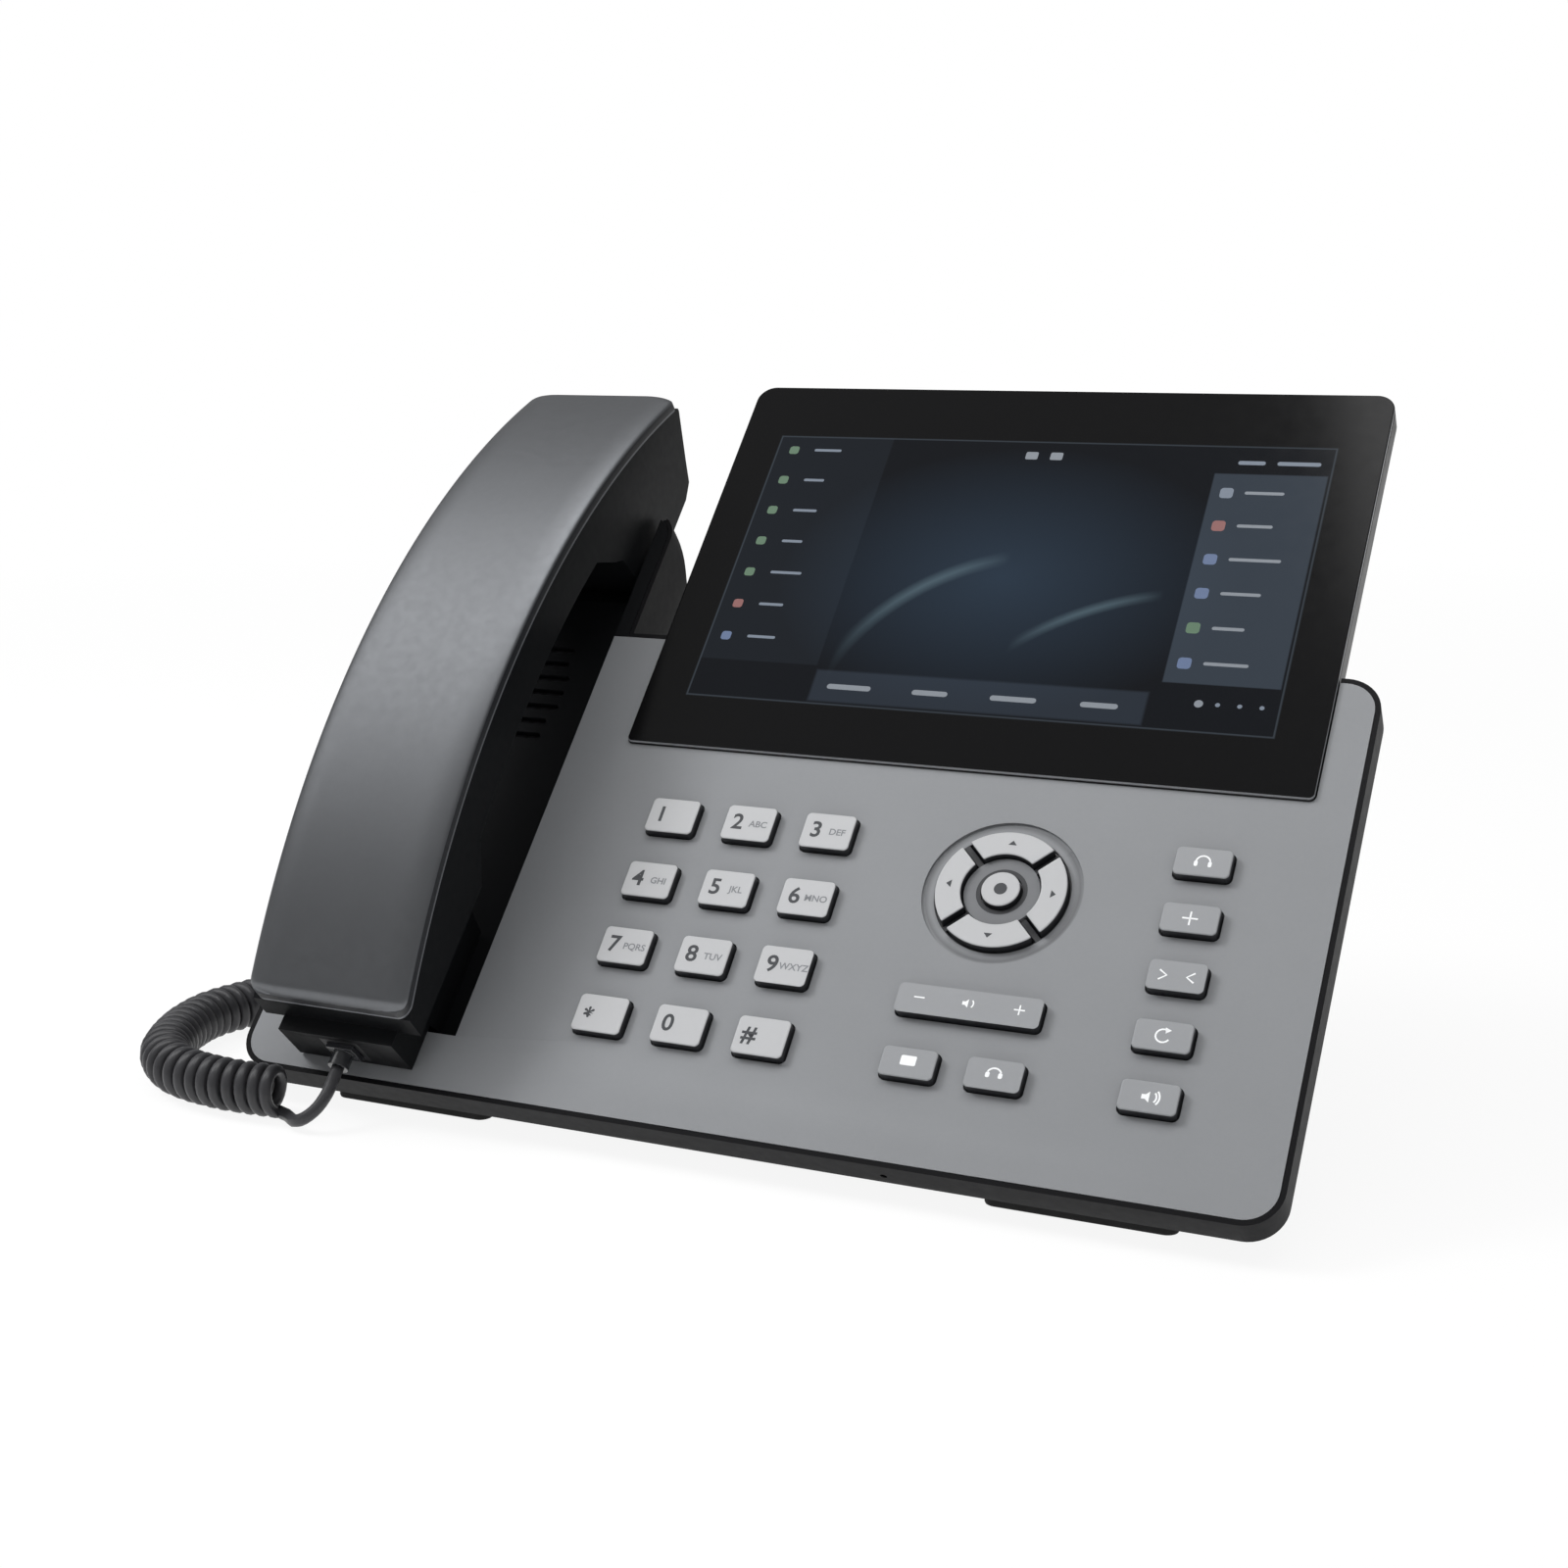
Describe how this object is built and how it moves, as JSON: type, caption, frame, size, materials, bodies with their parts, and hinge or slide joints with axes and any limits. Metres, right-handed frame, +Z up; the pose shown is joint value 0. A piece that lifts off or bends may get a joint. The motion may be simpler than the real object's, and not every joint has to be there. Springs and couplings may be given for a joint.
{
  "type": "desk ip phone",
  "caption": "Desk IP phone: a sloped face with a wide colour display, dial, navigation and function keys, a handset in a side trough and a curly handset cord.",
  "frame": {"origin": "Middle of the phone's box at the level of its feet, on the table, without the handset cord.", "axes": "+X to the user's right, +Y away from the user, +Z up; the face slopes up and back toward +Y."},
  "size_m": [0.3042, 0.1839, 0.1731],
  "materials": {
    "fascia_grey": "fine satin",
    "body_black": "fine texture",
    "cradle_grey": "fine satin",
    "bezel_black": "semi gloss",
    "screen_glass": "gloss over a dark panel",
    "panel": "lit picture",
    "board_green": "solder mask",
    "mat_rubber": "matt",
    "handset_dark": "satin",
    "handset_under": "satin",
    "socket_black": "moulded",
    "socket_metal": "plated",
    "foot_rubber": "matt",
    "screw_steel": "zinc plated",
    "key_white": "fine satin",
    "key_grey": "fine satin",
    "nav_silver": "satin paint",
    "cord_black": "smooth sleeve",
    "capsule": "plain",
    "speaker_dark": "plain"
  },
  "bodies": {
    "base": {"fascia_cover": "fascia_grey", "rear_cover": "body_black", "handset_cradle": "body_black", "display_housing": "bezel_black", "display_glass": "screen_glass", "lcd_panel": "panel", "main_board": "board_green", "keypad_board": "board_green", "keypad_mat": "mat_rubber", "loudspeaker": "speaker_dark", "handsfree_mic": "capsule", "hook_switch": "socket_black", "stand": "body_black", "front_feet": "foot_rubber", "stand_feet": "foot_rubber", "case_screws": "screw_steel", "board_screws": "screw_steel", "network_jacks": "socket_black", "handset_jack": "socket_black", "headset_jack": "socket_black", "power_jack": "socket_black", "usb_port": "socket_metal", "cord_tail_handset": "cord_black", "cord_coil": "cord_black", "cord_tail_base": "cord_black", "cord_plug_base": "socket_black"},
    "handset": {"handset_outer_shell": "handset_dark", "handset_inner_shell": "handset_under", "handset_receiver": "capsule", "handset_mic": "capsule", "handset_weight": "screw_steel", "handset_screws": "screw_steel", "handset_socket": "socket_black", "cord_plug_handset": "socket_black"},
    "plunger": {"hook_plunger": "cradle_grey"},
    "volume": {"volume_key": "key_grey"},
    "key_1_body": {"key_1": "key_white"},
    "key_2_body": {"key_2": "key_white"},
    "key_3_body": {"key_3": "key_white"},
    "key_4_body": {"key_4": "key_white"},
    "key_5_body": {"key_5": "key_white"},
    "key_6_body": {"key_6": "key_white"},
    "key_7_body": {"key_7": "key_white"},
    "key_8_body": {"key_8": "key_white"},
    "key_9_body": {"key_9": "key_white"},
    "key_star_body": {"key_star": "key_white"},
    "key_0_body": {"key_0": "key_white"},
    "key_hash_body": {"key_hash": "key_white"},
    "nav_up_body": {"nav_up": "nav_silver"},
    "nav_left_body": {"nav_left": "nav_silver"},
    "nav_down_body": {"nav_down": "nav_silver"},
    "nav_right_body": {"nav_right": "nav_silver"},
    "ok_key_body": {"ok_key": "nav_silver"},
    "left_key_body": {"left_key": "key_grey"},
    "right_key_body": {"right_key": "key_grey"},
    "function_key_1_body": {"function_key_1": "key_grey"},
    "function_key_2_body": {"function_key_2": "key_grey"},
    "function_key_3_body": {"function_key_3": "key_grey"},
    "function_key_4_body": {"function_key_4": "key_grey"},
    "function_key_5_body": {"function_key_5": "key_grey"}
  },
  "joints": [
    {"name": "handset_lift", "type": "slide", "parent": "base", "child": "handset", "axis": [0, -0.7071, 0.7071], "range_m": [0, 0.08]},
    {"name": "hook_rise", "type": "slide", "parent": "base", "child": "plunger", "axis": [0, -0.7071, 0.7071], "range_m": [0, 0.004]},
    {"name": "volume_rock", "type": "hinge", "parent": "base", "child": "volume", "pos_m": [0.0539, -0.0475, 0.03675], "axis": [0, 0.7071, 0.7071], "range_deg": [-2.5, 2.5], "stiffness_Nm_per_rad": 0.25},
    {"name": "key_1_press", "type": "slide", "parent": "base", "child": "key_1_body", "axis": [0, 0.7071, -0.7071], "range_m": [0, 0.0009], "stiffness_N_per_m": 1200},
    {"name": "key_2_press", "type": "slide", "parent": "base", "child": "key_2_body", "axis": [0, 0.7071, -0.7071], "range_m": [0, 0.0009], "stiffness_N_per_m": 1200},
    {"name": "key_3_press", "type": "slide", "parent": "base", "child": "key_3_body", "axis": [0, 0.7071, -0.7071], "range_m": [0, 0.0009], "stiffness_N_per_m": 1200},
    {"name": "key_4_press", "type": "slide", "parent": "base", "child": "key_4_body", "axis": [0, 0.7071, -0.7071], "range_m": [0, 0.0009], "stiffness_N_per_m": 1200},
    {"name": "key_5_press", "type": "slide", "parent": "base", "child": "key_5_body", "axis": [0, 0.7071, -0.7071], "range_m": [0, 0.0009], "stiffness_N_per_m": 1200},
    {"name": "key_6_press", "type": "slide", "parent": "base", "child": "key_6_body", "axis": [0, 0.7071, -0.7071], "range_m": [0, 0.0009], "stiffness_N_per_m": 1200},
    {"name": "key_7_press", "type": "slide", "parent": "base", "child": "key_7_body", "axis": [0, 0.7071, -0.7071], "range_m": [0, 0.0009], "stiffness_N_per_m": 1200},
    {"name": "key_8_press", "type": "slide", "parent": "base", "child": "key_8_body", "axis": [0, 0.7071, -0.7071], "range_m": [0, 0.0009], "stiffness_N_per_m": 1200},
    {"name": "key_9_press", "type": "slide", "parent": "base", "child": "key_9_body", "axis": [0, 0.7071, -0.7071], "range_m": [0, 0.0009], "stiffness_N_per_m": 1200},
    {"name": "key_star_press", "type": "slide", "parent": "base", "child": "key_star_body", "axis": [0, 0.7071, -0.7071], "range_m": [0, 0.0009], "stiffness_N_per_m": 1200},
    {"name": "key_0_press", "type": "slide", "parent": "base", "child": "key_0_body", "axis": [0, 0.7071, -0.7071], "range_m": [0, 0.0009], "stiffness_N_per_m": 1200},
    {"name": "key_hash_press", "type": "slide", "parent": "base", "child": "key_hash_body", "axis": [0, 0.7071, -0.7071], "range_m": [0, 0.0009], "stiffness_N_per_m": 1200},
    {"name": "nav_up_press", "type": "slide", "parent": "base", "child": "nav_up_body", "axis": [0, 0.7071, -0.7071], "range_m": [0, 0.0009], "stiffness_N_per_m": 1200},
    {"name": "nav_left_press", "type": "slide", "parent": "base", "child": "nav_left_body", "axis": [0, 0.7071, -0.7071], "range_m": [0, 0.0009], "stiffness_N_per_m": 1200},
    {"name": "nav_down_press", "type": "slide", "parent": "base", "child": "nav_down_body", "axis": [0, 0.7071, -0.7071], "range_m": [0, 0.0009], "stiffness_N_per_m": 1200},
    {"name": "nav_right_press", "type": "slide", "parent": "base", "child": "nav_right_body", "axis": [0, 0.7071, -0.7071], "range_m": [0, 0.0009], "stiffness_N_per_m": 1200},
    {"name": "ok_key_press", "type": "slide", "parent": "base", "child": "ok_key_body", "axis": [0, 0.7071, -0.7071], "range_m": [0, 0.0009], "stiffness_N_per_m": 1200},
    {"name": "left_key_press", "type": "slide", "parent": "base", "child": "left_key_body", "axis": [0, 0.7071, -0.7071], "range_m": [0, 0.0009], "stiffness_N_per_m": 1200},
    {"name": "right_key_press", "type": "slide", "parent": "base", "child": "right_key_body", "axis": [0, 0.7071, -0.7071], "range_m": [0, 0.0009], "stiffness_N_per_m": 1200},
    {"name": "function_key_1_press", "type": "slide", "parent": "base", "child": "function_key_1_body", "axis": [0, 0.7071, -0.7071], "range_m": [0, 0.0009], "stiffness_N_per_m": 1200},
    {"name": "function_key_2_press", "type": "slide", "parent": "base", "child": "function_key_2_body", "axis": [0, 0.7071, -0.7071], "range_m": [0, 0.0009], "stiffness_N_per_m": 1200},
    {"name": "function_key_3_press", "type": "slide", "parent": "base", "child": "function_key_3_body", "axis": [0, 0.7071, -0.7071], "range_m": [0, 0.0009], "stiffness_N_per_m": 1200},
    {"name": "function_key_4_press", "type": "slide", "parent": "base", "child": "function_key_4_body", "axis": [0, 0.7071, -0.7071], "range_m": [0, 0.0009], "stiffness_N_per_m": 1200},
    {"name": "function_key_5_press", "type": "slide", "parent": "base", "child": "function_key_5_body", "axis": [0, 0.7071, -0.7071], "range_m": [0, 0.0009], "stiffness_N_per_m": 1200}
  ],
  "couplings": [
    {"joint": "hook_rise", "follows": "handset_lift", "ratio": 0.05}
  ]
}
